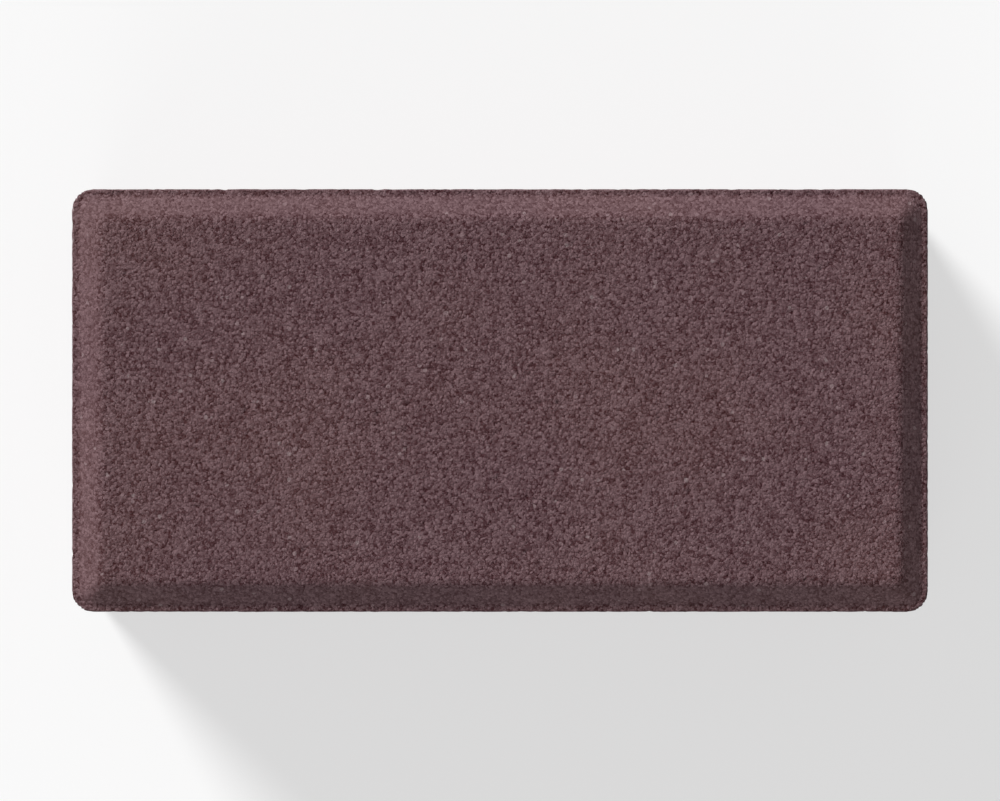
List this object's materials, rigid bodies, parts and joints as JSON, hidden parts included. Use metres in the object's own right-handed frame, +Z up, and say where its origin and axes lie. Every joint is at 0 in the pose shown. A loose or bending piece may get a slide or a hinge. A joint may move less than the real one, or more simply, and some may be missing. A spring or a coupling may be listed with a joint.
{
  "type": "concrete paving stone",
  "caption": "Rectangular block paver of dark brown pressed concrete with a chamfered wearing face, laid on a sand bed in bonded rows to surface paths and yards.",
  "frame": {"origin": "centre of the bed face, which lies on the ground", "axes": "+X along the stone's length, +Y along its width, +Z up to the wearing face"},
  "size_m": [0.198, 0.098, 0.06],
  "materials": {
    "brown_concrete": "matte"
  },
  "bodies": {
    "root": {"paving_stone": "brown_concrete"}
  },
  "joints": []
}
